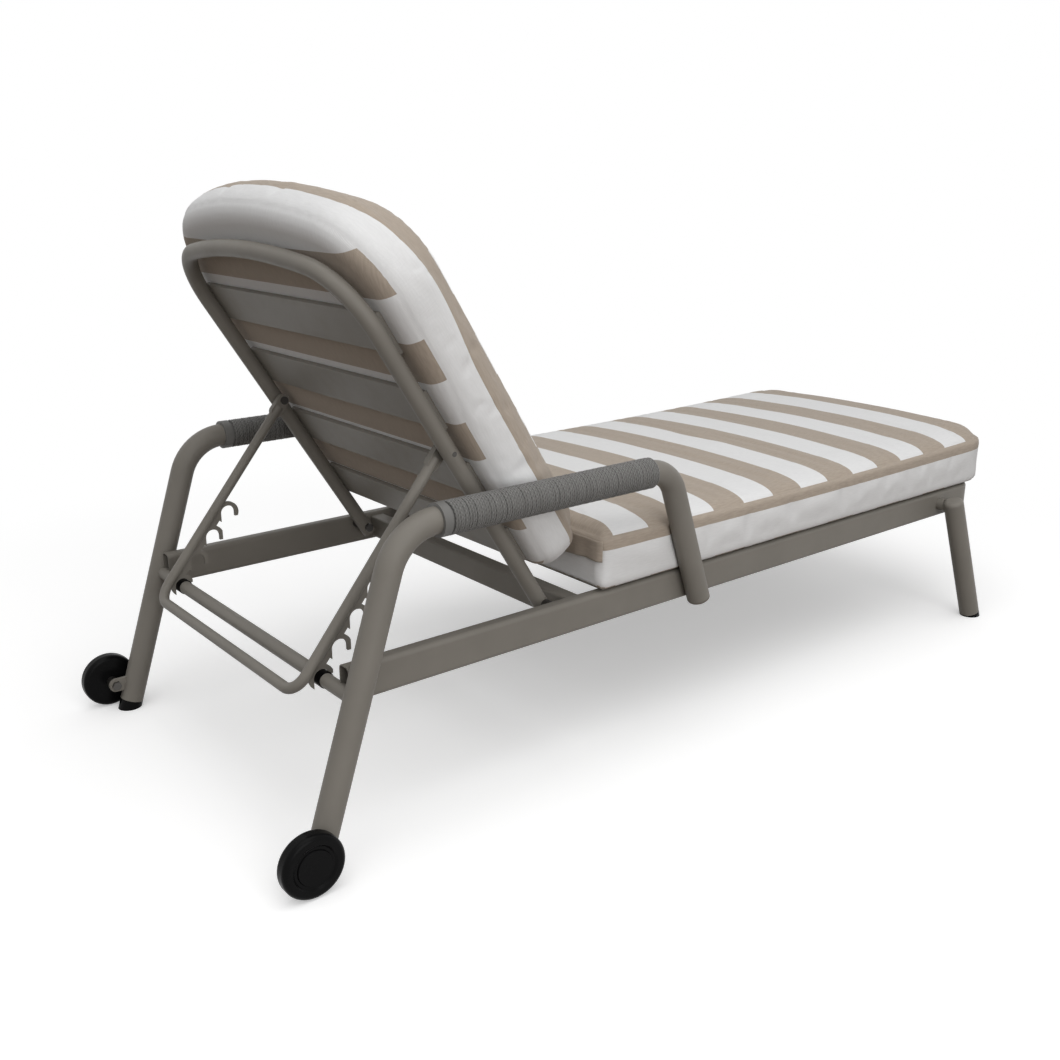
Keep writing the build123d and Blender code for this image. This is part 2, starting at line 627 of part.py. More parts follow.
# Hook plates: notches open straight down, each with a finger in front of it
drop_turn = -90 - bail_turn * 180 / pi
mouth_run = 3 * notch_pitch     # well past the plate's lower edge
tip_room = 3 * notch_r          # a notch, its finger and some room
for side, s in sides:
    hook_plane = Plane(prop + Vector(0, s * bail_y, 0), x_dir=bail_dir, z_dir=(0, -1, 0))
    notches = [last_notch - k * notch_pitch for k in range(notch_count)]
    root = bail_r - hook_root
    with BuildPart() as hook_plate:
        with BuildSketch(hook_plane):
            with Locations(((notches[0] + notches[-1]) / 2, root)):
                Rectangle(
                    notches[0] - notches[-1] + 2 * notch_r, hook_root + hook_web + hook_finger,
                    align=(Align.CENTER, Align.MIN),
                )
            for a in notches:
                with Locations((a, notch_off)):
                    Circle(notch_r + hook_finger)
            for k, a in enumerate(notches):
                tip = hook_lip if k == 0 else hook_reach
                with Locations((a, notch_off)):
                    Circle(notch_r, mode=Mode.SUBTRACT)
                with Locations(Location((a, notch_off), drop_turn)):
                    Rectangle(
                        mouth_run, 2 * notch_r, align=(Align.MIN, Align.CENTER), mode=Mode.SUBTRACT
                    )
                    with Locations((tip, -notch_r)):
                        Rectangle(
                            mouth_run, tip_room, align=(Align.MIN, Align.MIN), mode=Mode.SUBTRACT
                        )
            with Locations((last_notch, root)):
                Rectangle(2 * last_notch, notch_off, align=(Align.CENTER, Align.MAX), mode=Mode.SUBTRACT)
        extrude(amount=hook_t / 2, both=True)
        add(prop_bail.part, mode=Mode.SUBTRACT)
    hook_plate.part.label = f"hook_plate_{side}"
    export_step(hook_plate.part, f"parts/hook_plate_{side}.step")

# Cushions: sections from the lower panel to the crown, each with two rounded and two bowed corners
x_seat_rear = x_hinge + seat_start
seat_z = rail_top + slat_t + cushion_fit
cushions = (
    (
        "seat_cushion", Plane((x_seat_rear, 0, seat_z)), 0, x_seat_front - x_seat_rear, seat_w / 2,
        seat_bow, seat_front_corner, seat_rear_corner, seat_tilt,
        cushion_rows(
            seat_t, seat_low_in, seat_low_h, seat_top_in, seat_top_h,
            seat_roll, seat_roll_in, seat_crown, seat_crown_in,
        ),
    ),
    (
        "back_cushion", back_plane.offset(hoop_r + back_slat_rise + cushion_fit), back_start,
        back_start + back_len, back_w / 2, back_bow, back_top_corner, back_low_corner, 0,
        cushion_rows(
            back_t, back_low_in, back_low_h, back_top_in, back_top_h,
            back_roll, back_roll_in, back_crown, back_crown_in,
        ),
    ),
)
for name, base, start, end, half, bow, corner, low, tilt, rows in cushions:
    with BuildPart() as cushion:
        for rise, inset in rows:
            near, far, wide = start + inset, end - inset, half - inset
            foot = max(low - inset, corner_min)
            bend, on_mid, on_bow = bowed_end(far, wide, bow - inset, max(corner - inset, corner_min))
            level = base.offset(rise)
            middle = level.from_local_coords(Vector((start + end) / 2, 0, 0))
            slope = level.rotated((0, -tilt * rise / rows[-1][0], 0))
            slope.origin = middle - slope.x_dir * ((start + end) / 2)
            with BuildSketch(slope):
                with BuildLine():
                    Line((near + foot, wide), (bend, wide))
                    ThreePointArc((bend, wide), on_mid, on_bow)
                    ThreePointArc(on_bow, (far, 0), (on_bow[0], -on_bow[1]))
                    ThreePointArc((on_bow[0], -on_bow[1]), (on_mid[0], -on_mid[1]), (bend, -wide))
                    Line((bend, -wide), (near + foot, -wide))
                    RadiusArc((near + foot, -wide), (near, foot - wide), foot)
                    Line((near, foot - wide), (near, wide - foot))
                    RadiusArc((near, wide - foot), (near + foot, wide), foot)
                make_face()
        loft(ruled=True)
        if name == "seat_cushion":
            # Pressed in where the arm posts pass
            for side, s in sides:
                foot_of_post = Vector(post_end.X, s * arm_y, post_end.Z)
                with BuildSketch(Plane(foot_of_post, z_dir=-post_dir)):
                    Circle(arm_r + cushion_fit)
                extrude(amount=arm_z, mode=Mode.SUBTRACT)
    cushion.part.label = name
    export_step(cushion.part, f"parts/{name}.step")

# Cloth strip sewn to the seat cushion's rear edge, which ties the back cushion to it
with BuildPart() as cushion_join:
    with BuildSketch(Plane.XY.offset(seat_z + seat_t - join_drop - join_h)):
        with Locations((x_seat_rear - cushion_fit, 0)):
            Rectangle(join_t, seat_w - 2 * seat_rear_corner, align=(Align.MAX, Align.CENTER))
    extrude(amount=join_h)
cushion_join.part.label = "cushion_join"
export_step(cushion_join.part, "parts/cushion_join.step")

print(f"prop leans {bail_turn * 180 / pi:.2f} degrees, lowest notch {last_notch:.1f} mm from its pivot")
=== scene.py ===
# %% [markdown]
# # Dressing a reclining sun lounger
#
# The metal frame, wheels, hinges and slats of this lounger come in as exact solids. This lesson gives them
# their finishes, and makes the soft things that solids can't show well: the rope wound round the armrests
# and the striped cushions. The solids stay where they are, so the lounger can still fold.

import json

import bpy
import numpy as np
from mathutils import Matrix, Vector


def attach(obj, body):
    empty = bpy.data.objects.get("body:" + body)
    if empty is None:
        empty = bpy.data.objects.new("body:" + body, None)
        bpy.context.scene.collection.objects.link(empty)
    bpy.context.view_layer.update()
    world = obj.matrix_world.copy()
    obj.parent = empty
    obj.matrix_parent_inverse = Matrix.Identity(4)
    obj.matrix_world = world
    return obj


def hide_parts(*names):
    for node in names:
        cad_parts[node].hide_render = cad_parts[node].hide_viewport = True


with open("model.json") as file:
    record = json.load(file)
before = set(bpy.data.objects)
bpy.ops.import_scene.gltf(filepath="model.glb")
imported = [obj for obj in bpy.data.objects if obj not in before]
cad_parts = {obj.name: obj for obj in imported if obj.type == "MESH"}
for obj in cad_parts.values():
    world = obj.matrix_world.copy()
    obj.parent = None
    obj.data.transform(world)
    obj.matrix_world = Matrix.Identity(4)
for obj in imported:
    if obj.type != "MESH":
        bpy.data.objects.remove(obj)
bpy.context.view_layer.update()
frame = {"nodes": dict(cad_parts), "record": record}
nodes = frame["nodes"]
scene = bpy.context.scene
scene.view_settings.view_transform = "Standard"

# %% [markdown]
# ## Camera
#
# The lounger is seen from behind and to one side, a little above the armrests. A camera can be aimed by hand,
# or from the lines in a picture: parallel tubes meet at vanishing points, which give the lens and the turn.
# Here those numbers are simply written down. The picture is square, so the lens follows from its width.

# %% Aim the camera
EYE = (-1.4635, -1.6120, 0.9448)
YAW, PITCH = np.radians((50.974, -17.450))
FOCAL_PIXELS, PICTURE_PIXELS = 1148.18, 1060

camera = bpy.data.objects.new("camera", bpy.data.cameras.new("camera"))
scene.collection.objects.link(camera)
camera.data.sensor_width = 36.0
camera.data.lens = camera.data.sensor_width * FOCAL_PIXELS / PICTURE_PIXELS
look = Vector((np.cos(PITCH) * np.cos(YAW), np.cos(PITCH) * np.sin(YAW), np.sin(PITCH)))
camera.rotation_euler = look.to_track_quat("-Z", "Y").to_euler()
camera.location = EYE
scene.camera = camera
print("camera: lens", round(camera.data.lens, 2), "mm")

# %% [markdown]
# ## Node helpers
#
# A material is a small graph of nodes. Wiring it by hand takes many lines, so a few short helpers do it: they
# add a node and fill its inputs, do a sum, mix two colours, and start a node group, which is a graph that several
# materials can share.


# %% Helpers for node graphs
def fill(tree, socket, value):
    """Links a socket to another one, or gives it a constant."""
    if isinstance(value, bpy.types.NodeSocket):
        tree.links.new(value, socket)
    else:
        socket.default_value = value


def add(tree, kind, settings=None, **inputs):
    """Adds a node and fills its inputs, by name or, after an underscore, by number."""
    node = tree.nodes.new("ShaderNode" + kind)
    for name, value in inputs.items():
        fill(tree, node.inputs[int(name[1:]) if name[0] == "_" else name.replace("_", " ")], value)
    for name, value in (settings or {}).items():
        setattr(node, name, value)
    return node


def sums(tree, operation, a, b=0.0, c=0.0):
    """One step of arithmetic: the named operation on up to three values."""
    return add(tree, "Math", {"operation": operation}, _0=a, _1=b, _2=c).outputs[0]


def blended(tree, factor, a, b):
    """A colour between a and b: a where the factor is 0, b where it is 1."""
    node = tree.nodes.new("ShaderNodeMix")
    node.data_type = "RGBA"
    for number, value in ((0, factor), (6, a), (7, b)):
        fill(tree, node.inputs[number], value)
    return node.outputs[2]


def ramped(tree, value, low, high, to_low=0.0, to_high=1.0):
    """The value carried from the span low..high to the span to_low..to_high, smoothly, and held there."""
    node = add(tree, "MapRange", {"interpolation_type": "SMOOTHSTEP"}, _0=value, _1=low, _2=high)
    node.inputs[3].default_value, node.inputs[4].default_value = to_low, to_high
    return node.outputs[0]


def start_group(name, inputs, outputs):
    """A new node group with the named sockets, and its inner input and output nodes."""
    group = bpy.data.node_groups.new(name, "ShaderNodeTree")
    for label, kind in inputs.items():
        group.interface.new_socket(name=label, in_out="INPUT", socket_type="NodeSocket" + kind)
    for label, kind in outputs.items():
        group.interface.new_socket(name=label, in_out="OUTPUT", socket_type="NodeSocket" + kind)
    return group, group.nodes.new("NodeGroupInput").outputs, group.nodes.new("NodeGroupOutput").inputs


def place(tree, group, **inputs):
    """Puts a group into a material and fills its inputs."""
    node = tree.nodes.new("ShaderNodeGroup")
    node.node_tree = group
    for name, value in inputs.items():
        fill(tree, node.inputs[name.replace("_", " ")], value)
    return node.outputs


def start_material(name):
    """A new material: its node graph and its shader."""
    material = bpy.data.materials.new(name)
    material.use_nodes = True
    tree = material.node_tree
    return material, tree, tree.nodes["Principled BSDF"]


def toned(colour, factor):
    """A colour made darker or lighter by a factor, with its alpha."""
    return tuple(min(1, c * factor) for c in colour[:3]) + (1,)


print("node helpers ready")

# %% [markdown]
# ## Floor and light
#
# A photographer would set this on a white sweep under one wide soft box, with a weaker panel beside the camera
# for the near sides. The sweep is a large floor, whose picture turns pure white away from the lounger, while
# near it the floor keeps the shadow. The room is an even soft white, and the box above makes the upper faces
# the brightest.

# %% Floor, room and lamps
FLOOR_SIDE, SHADOW_REACH, WHITE_REACH, FLOOR_LIFT = 40.0, 1.1, 1.9, 0.30
ROOM_LIGHT, BOUNCE = 0.50, (0.120, 0.090, 0.068, 1)
PAPER_WHITE, PURE_WHITE = (0.95, 0.95, 0.95, 1), (1, 1, 1, 1)
LAMPS = {"soft_box": ((-0.7, -1.1, 3.6), 3.6, 54.0), "side_panel": ((-0.9, -3.6, 1.3), 2.4, 42.0)}
LAMP_AIM = Vector((0.1, 0, 0.3))


def seen_directly(tree):
    """1 where the camera sees a surface straight, mirrored or through glass, and 0 where it only gives light."""
    path = add(tree, "LightPath").outputs
    return sums(tree, "MAXIMUM", sums(tree, "MAXIMUM", path["Is Camera Ray"], path["Is Glossy Ray"]),
                path["Is Transmission Ray"])


floor_mesh = bpy.data.meshes.new("floor")
half = FLOOR_SIDE / 2
corners = [(-half, -half, 0), (half, -half, 0), (half, half, 0), (-half, half, 0)]
floor_mesh.from_pydata(corners, [], [(0, 1, 2, 3)])
floor = bpy.data.objects.new("floor", floor_mesh)
scene.collection.objects.link(floor)

floor_paper, tree, shader = start_material("floor_paper")
shader.inputs["Roughness"].default_value = 0.9
shader.inputs["Specular IOR Level"].default_value = 0.0
seen = seen_directly(tree)
tree.links.new(blended(tree, seen, BOUNCE, PAPER_WHITE), shader.inputs["Base Color"])
spot = add(tree, "TexCoord").outputs["Object"]
away = add(tree, "VectorMath", {"operation": "LENGTH"}, _0=spot).outputs["Value"]
white = sums(tree, "MULTIPLY", seen, ramped(tree, away, SHADOW_REACH, WHITE_REACH))
glow = add(tree, "Emission", Color=PURE_WHITE, Strength=sums(tree, "MULTIPLY", seen, FLOOR_LIFT))
near = add(tree, "AddShader", _0=shader.outputs[0], _1=glow.outputs[0])
distant = add(tree, "Emission", Color=PURE_WHITE, Strength=1.0)
paper = add(tree, "MixShader", _0=white, _1=near.outputs[0], _2=distant.outputs[0])
tree.links.new(paper.outputs[0], tree.nodes["Material Output"].inputs["Surface"])
floor_mesh.materials.append(floor_paper)

scene.world = bpy.data.worlds.new("room")
scene.world.use_nodes = True
tree = scene.world.node_tree
seen = seen_directly(tree)
room = tree.nodes["Background"].inputs
room["Color"].default_value = PURE_WHITE
tree.links.new(sums(tree, "MULTIPLY_ADD", seen, 1 - ROOM_LIGHT, ROOM_LIGHT), room["Strength"])

for name, (spot, size, watts) in LAMPS.items():
    lamp = bpy.data.objects.new(name, bpy.data.lights.new(name, "AREA"))
    scene.collection.objects.link(lamp)
    lamp.data.size, lamp.data.energy = size, watts
    lamp.location = spot
    lamp.rotation_euler = (LAMP_AIM - lamp.location).to_track_quat("-Z", "Y").to_euler()
print("light: room", ROOM_LIGHT, "and", len(LAMPS), "soft lamps")

# %% [markdown]
# ## Shared effects
#
# Powder coat, moulded plastic and cloth all vary a little from place to place. Two effects serve them: a fine
# grain, for the pebbled skin of a coating or a moulding, and cloudy handling marks, which change the gloss.
# A third is the plain weave of the cloth: threads pass over and under each other, so the height is the product
# of two waves. Each is one group, placed in a material with that material's own values.

# %% Grain, marks and weave as groups
TONES_PER_METRE = 9.0
SLUBS_PER_METRE = (60.0, 420.0, 1.0)

fine_grain, given, wanted = start_group(
    "fine_grain", {"Place": "Vector", "Grains per metre": "Float"}, {"Height": "Float", "Tone": "Float"})
grain = add(fine_grain, "TexNoise", Vector=given["Place"], Scale=given["Grains per metre"], Detail=2.0)
broad = add(fine_grain, "TexNoise", Vector=given["Place"], Scale=TONES_PER_METRE, Detail=3.0)
fine_grain.links.new(grain.outputs[0], wanted["Height"])
fine_grain.links.new(ramped(fine_grain, broad.outputs[0], 0.3, 0.7), wanted["Tone"])

handling_marks, given, wanted = start_group(
    "handling_marks", {"Place": "Vector", "Marks per metre": "Float"}, {"Mask": "Float"})
cloud = add(handling_marks, "TexNoise", Vector=given["Place"], Scale=given["Marks per metre"], Detail=6.0,
            Roughness=0.7)
handling_marks.links.new(ramped(handling_marks, cloud.outputs[0], 0.42, 0.72), wanted["Mask"])

plain_weave, given, wanted = start_group(
    "plain_weave", {"Thread": "Vector", "Threads per metre": "Float"}, {"Height": "Float", "Tone": "Float"})
run = add(plain_weave, "VectorMath", {"operation": "SCALE"}, _0=given["Thread"])
plain_weave.links.new(sums(plain_weave, "MULTIPLY", given["Threads per metre"], np.pi), run.inputs["Scale"])
warp = add(plain_weave, "SeparateXYZ", _0=run.outputs[0]).outputs
cross = sums(plain_weave, "MULTIPLY", sums(plain_weave, "SINE", warp[0]), sums(plain_weave, "SINE", warp[1]))
plain_weave.links.new(sums(plain_weave, "MULTIPLY_ADD", cross, 0.5, 0.5), wanted["Height"])
stretched = add(plain_weave, "VectorMath", {"operation": "MULTIPLY"}, _0=given["Thread"], _1=SLUBS_PER_METRE)
slub = add(plain_weave, "TexNoise", Scale=1.0, Detail=3.0, Vector=stretched.outputs[0])
plain_weave.links.new(ramped(plain_weave, slub.outputs[0], 0.25, 0.75), wanted["Tone"])
print("groups:", [g.name for g in bpy.data.node_groups])

# %% [markdown]
# ## Coat, plastic and steel
#
# The tubes are aluminium under a warm grey powder coat: satin, with a pebbled skin under a millimetre across.
# The feet, wheels and sleeves are black moulded plastic, the plugs are plastic in the coat's colour, and the
# bolts are dark steel. A quick way is one flat colour each; here grain, tone and gloss vary over the surface.

# %% Rigid finishes
MARKS_PER_METRE, MARK_DULLING, GRAIN_DEPTH = 26.0, 0.06, 0.0004


def rigid_finish(name, colour, rough, grains, bump, metal=0.0, contrast=0.12, gloss=0.5):
    """A coated, moulded or plain metal surface: its colour, its gloss, and the size and depth of its grain."""
    material, tree, shader = start_material(name)
    spot = add(tree, "TexCoord").outputs["Object"]
    grain = place(tree, fine_grain, Place=spot, Grains_per_metre=grains)
    marks = place(tree, handling_marks, Place=spot, Marks_per_metre=MARKS_PER_METRE)
    tone = blended(tree, grain["Tone"], toned(colour, 1 - contrast), toned(colour, 1 + contrast))
    tree.links.new(tone, shader.inputs["Base Color"])
    dulled = ramped(tree, marks["Mask"], 0.0, 1.0, rough, rough + MARK_DULLING)
    tree.links.new(dulled, shader.inputs["Roughness"])
    shader.inputs["Metallic"].default_value = metal
    shader.inputs["Specular IOR Level"].default_value = gloss
    skin = add(tree, "Bump", Strength=bump, Distance=GRAIN_DEPTH, Height=grain["Height"])
    tree.links.new(skin.outputs[0], shader.inputs["Normal"])
    return material


finish_of = {
    "frame_coat": rigid_finish("powder_coat", (0.212, 0.197, 0.173), 0.46, 1100.0, 0.30, contrast=0.05, gloss=0.22),
    "cap_plastic": rigid_finish("coat_plastic", (0.180, 0.160, 0.137), 0.50, 700.0, 0.20, contrast=0.05,
                                gloss=0.22),
    "black_plastic": rigid_finish("black_plastic", (0.0040, 0.0040, 0.0042), 0.25, 800.0, 0.12, contrast=0.25,
                                  gloss=0.06),
    "hardware": rigid_finish("dark_steel", (0.085, 0.081, 0.076), 0.42, 500.0, 0.12, metal=1.0),
}
wrap_sleeve = rigid_finish("wrap_sleeve", (0.150, 0.147, 0.140), 0.55, 420.0, 0.25)
print("rigid finishes:", [m.name for m in finish_of.values()])

# %% [markdown]
# ## Finishes on the solids
#
# The record says what each solid is made of, so a finish follows from its slot. The sleeve under the rope and the
# soft solids have no rigid slot. They get the sleeve's grey, and rope and cloth take the soft solids' place below.

# %% Put the finishes on the solids
slot_of = {part["node"]: part["material_slot"] for part in frame["record"]["subparts"]}
for name, solid in nodes.items():
    solid.data.materials.clear()
    solid.data.materials.append(finish_of.get(slot_of[name], wrap_sleeve))
print("finished solids:", {s: list(slot_of.values()).count(s) for s in finish_of})

# %% [markdown]
# ## Rope on the armrests
#
# Each armrest is wound with about a hundred tight turns of grey rope. A curve with a bevel could make it, but
# here the tube is one surface of two parameters: how far along the rope, and how far round it. First comes a
# helper that lays faces over such a grid of points, for the rope and later for the cushions.


# %% From a grid of points to a mesh
def skinned(name, grid, uv=None):
    """A mesh over a grid of points, rows by columns. The columns close on themselves, and a point in the middle
    of the first and of the last row closes the ends. Row r and column c make the corner r * columns + c."""
    rows, cols = grid.shape[:2]
    points = np.concatenate([grid.reshape(-1, 3), grid[0].mean(0)[None], grid[-1].mean(0)[None]])
    at = np.arange(rows * cols).reshape(rows, cols)
    beside = np.roll(at, -1, 1)
    quads = np.stack([at[:-1], beside[:-1], beside[1:], at[1:]], -1).reshape(-1, 4)
    first = np.stack([np.full(cols, rows * cols), beside[0], at[0]], -1)
    last = np.stack([np.full(cols, rows * cols + 1), at[-1], beside[-1]], -1)
    mesh = bpy.data.meshes.new(name)
    mesh.from_pydata(points.tolist(), [], quads.tolist() + first.tolist() + last.tolist())
    if uv is not None:
        layer = mesh.uv_layers.new(name="cloth")
        corner = np.concatenate([quads.ravel(), first.ravel(), last.ravel()])
        flat = np.concatenate([uv.reshape(-1, 2), uv[0].mean(0)[None], uv[-1].mean(0)[None]])
        layer.data.foreach_set("uv", flat[corner].astype(np.float32).ravel())
    mesh.shade_smooth()
    piece = bpy.data.objects.new(name, mesh)
    scene.collection.objects.link(piece)
    return piece


print("grid helper ready")

# %% [markdown]
# ## Winding and yarn
#
# The turns lie a rope's width apart, and each strays a little, as turns wound by hand do. The UV map unrolls the
# rope, so that the material can draw its twisted strands, with painted shade in the grooves between them.

# %% Wind the rope
ROPE_R, ROPE_PITCH, WIND_R = 0.00202, 0.00410, 0.02312
ROPE_FROM, ROPE_TO, ARM_Y, ARM_Z = -0.5895, -0.1915, 0.346, 0.480
STEPS, SIDES = 40, 8
ROPE_STRAY, ROPE_SWELL = 0.00045, 0.00016
# The dark yarn colour is dark fibre plus painted shade in the grooves between strands; the light one is pale fibre
# plus painted light on the strands' crests.
YARN_DARK_AND_GROOVE_SHADE, YARN_LIGHT_AND_LIT_CREST = (0.094, 0.092, 0.088, 1), (0.250, 0.245, 0.234, 1)
STRAND_LENGTH, STRANDS = 0.0062, 3
FIBRES = (260.0, 9.0, 1.0)


def wound_rope(name, side):
    """A tube on a helix. The angle grows evenly along the rope while x grows by one pitch a turn, and slow waves
    shift each turn a fifth of a pitch. Round the tube, a point leaves the helix by cos * outwards + sin * x."""
    turns = (ROPE_TO - ROPE_FROM) / ROPE_PITCH
    angle = np.linspace(0, 2 * np.pi * turns, int(turns * STEPS))[:, None]
    around = np.linspace(0, 2 * np.pi, SIDES, endpoint=False)[None]
    stray = ROPE_STRAY * (np.sin(0.131 * angle) + np.sin(0.417 * angle + 1.3) * np.sin(0.037 * angle))
    swell = ROPE_SWELL * np.sin(0.291 * angle + 0.8)
    end = np.minimum(1, np.minimum(angle, angle[-1] - angle) / 0.4 + 0.15)
    thick = ROPE_R * end
    out = WIND_R + swell + thick * np.cos(around)
    grid = np.stack([ROPE_FROM + ROPE_PITCH * angle / (2 * np.pi) + stray * end + thick * np.sin(around),
                     side * (ARM_Y + 0 * around) + out * np.sin(angle), ARM_Z + out * np.cos(angle)], -1)
    length = np.broadcast_to(angle * WIND_R, grid.shape[:2])
    uv = np.stack([length, np.broadcast_to(around / (2 * np.pi), grid.shape[:2])], -1)
    return skinned(name, grid, uv)


def outward(piece):
    """Turns the faces round where the mesh encloses a negative volume, the sum of a . (b x c) over its
    triangles."""
    mesh = piece.data
    mesh.calc_loop_triangles()
    corners = np.empty(len(mesh.loop_triangles) * 3, np.int32)
    mesh.loop_triangles.foreach_get("vertices", corners)
    points = np.empty(len(mesh.vertices) * 3)
    mesh.vertices.foreach_get("co", points)
    a, b, c = points.reshape(-1, 3)[corners.reshape(-1, 3)].transpose(1, 0, 2)
    if np.einsum("ij,ij->i", a, np.cross(b, c)).sum() < 0:
        mesh.flip_normals()
    return piece


rope_yarn, tree, shader = start_material("rope_yarn")
unrolled = add(tree, "UVMap").outputs[0]
parts = add(tree, "SeparateXYZ", _0=unrolled).outputs
strand = sums(tree, "SINE", sums(tree, "ADD", sums(tree, "MULTIPLY", parts[0], 2 * np.pi / STRAND_LENGTH),
                                 sums(tree, "MULTIPLY", parts[1], 2 * np.pi * STRANDS)))
drawn = add(tree, "VectorMath", {"operation": "MULTIPLY"}, _0=unrolled, _1=FIBRES)
fibre = add(tree, "TexNoise", Scale=1.0, Detail=4.0, Vector=drawn.outputs[0])
# The colour follows the fibre tone and the strands' height: the darker grooves are painted shade, and the lighter
# crests are painted light.
yarn = sums(tree, "MULTIPLY_ADD", strand, 0.22, fibre.outputs[0])
tree.links.new(blended(tree, ramped(tree, yarn, 0.15, 0.95), YARN_DARK_AND_GROOVE_SHADE, YARN_LIGHT_AND_LIT_CREST), shader.inputs["Base Color"])
shader.inputs["Roughness"].default_value = 0.82
shader.inputs["Sheen Weight"].default_value = 0.25
tree.links.new(add(tree, "Bump", Strength=0.7, Distance=0.0006, Height=yarn).outputs[0], shader.inputs["Normal"])

for label, side in (("left", 1), ("right", -1)):
    rope = outward(wound_rope("rope_wrap_" + label, side))
    rope.data.materials.append(rope_yarn)
    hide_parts("arm_rope_" + label)
    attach(rope, "frame")
    print(rope.name, len(rope.data.polygons), "faces")

# %% [markdown]
# ## The cushions' pattern
#
# Both cushions are sewn in the same way: a lower panel, a boxing strip round the side, and a crowned upper
# panel. A cushion could be a scaled, rounded cube, but then its seams would be anyone's guess. Here its plan is
# drawn as the maker's pattern is: a straight near end, round corners, straight sides and a bowed far end. The
# side then follows a section of a few arcs, and the upper panel rises with the distance from the edge.

# %% Plan and section
PLAN_STEPS, SIDE_STEPS, UNDER_STEPS, OVER_STEPS = 80, 60, 200, 400


def plan(size, count=1400):
    """Points and inward directions round the plan, evenly spaced: a line, an arc of radius low, a line, an arc of
    radius corner and an arc of radius bow make one half, and the other half is its mirror image."""
    length, half, bow, corner, low = (size[key] for key in ("length", "half", "bow", "corner", "low"))
    step = np.linspace(0, 1, PLAN_STEPS)[:, None]

    def arc(middle, radius, a, b):
        way = np.hstack([np.cos(a + (b - a) * step), np.sin(a + (b - a) * step)])
        return np.hstack([np.array(middle) + radius * way, -way])

    def line(p, q, way):
        return np.hstack([np.array(p) + (np.array(q) - p) * step, np.broadcast_to(way, (PLAN_STEPS, 2))])

    corner_w = half - corner
    corner_u = length - bow + np.sqrt((bow - corner) ** 2 - corner_w**2)
    lean = np.arctan2(corner_w, corner_u - length + bow)
    side = np.concatenate([line((0, 0), (0, half - low), (1, 0)), arc((low, half - low), low, np.pi, np.pi / 2),
                           line((low, half), (corner_u, half), (0, -1)),
                           arc((corner_u, corner_w), corner, np.pi / 2, lean),
                           arc((length - bow, 0), bow, lean, 0)])
    loop = np.concatenate([side, side[::-1] * (1, -1, 1, -1)])
    far = np.concatenate([[0], np.cumsum(np.hypot(*np.diff(loop[:, :2], axis=0).T))])
    spot = np.linspace(0, far[-1], count, endpoint=False)
    even = np.stack([np.interp(spot, far, column) for column in loop.T], 1)
    return even[:, :2], even[:, 2:] / np.linalg.norm(even[:, 2:], axis=1)[:, None], spot


def section(size):
    """Inset and rise along the side, from the lower panel's edge to the upper panel's: a quarter arc, a straight
    wall and another quarter arc, with as many points each."""
    quarter = np.linspace(0, np.pi / 2, SIDE_STEPS)
    low = np.stack([size["low_in"] * (1 - np.sin(quarter)), size["low_h"] * (1 - np.cos(quarter))], 1)
    top_start = size["thick"] - size["top_h"]
    top = np.stack([size["top_in"] * (1 - np.cos(quarter)), top_start + size["top_h"] * np.sin(quarter)], 1)
    straight = np.linspace(size["low_h"], top_start, SIDE_STEPS + 2)[1:-1]
    return np.concatenate([low, np.stack([np.zeros(SIDE_STEPS), straight], 1), top])


def eased(value):
    """A smooth step: 3 v^2 - 2 v^3 between 0 and 1, and held beyond them."""
    held = np.clip(value, 0, 1)
    return held * held * (3 - 2 * held)


def panel_rise(size, inset, wing, run, blend=0.1):
    """How high the upper panel lies: it rolls up along its edge, with the inset from the nearest edge, and rises
    slowly to its middle line, with the inset from the long sides. Each rise is the sine of a quarter turn. The
    roll is tighter where an end is nearer than a long side."""
    def part(gap, end):
        return np.sin(np.pi / 2 * np.clip((gap - size["top_in"]) / (end - size["top_in"]), 0, 1))
    roll_in = size["roll_in"] + (size["end_in"] - size["roll_in"]) * eased(0.5 + (wing - run) / blend)
    return size["thick"] + part(inset, roll_in) * (size["roll"] + size["crown"] * part(wing, size["crown_in"]))


def nearest(points, samples, chunk=4000):
    """For each point the index of the nearest sample and its distance, worked out a few thousand at a time."""
    index, gap = [], []
    for start in range(0, len(points), chunk):
        square = ((points[start:start + chunk, None] - samples[None]) ** 2).sum(-1)
        index.append(square.argmin(1))
        gap.append(np.sqrt(square.min(1)))
    return np.concatenate(index), np.concatenate(gap)


print("cushion pattern ready")

# %% [markdown]
# ## From pattern to stuffed cushion
#
# The pattern gives a smooth closed form. A voxel remesh turns it into even squares, on which Blender's cloth
# works well. Every point then remembers where it lies on the pattern: how far along, how far round the plan, and
# how far up the section. Those three numbers survive everything that follows, and later place seams and stripes.


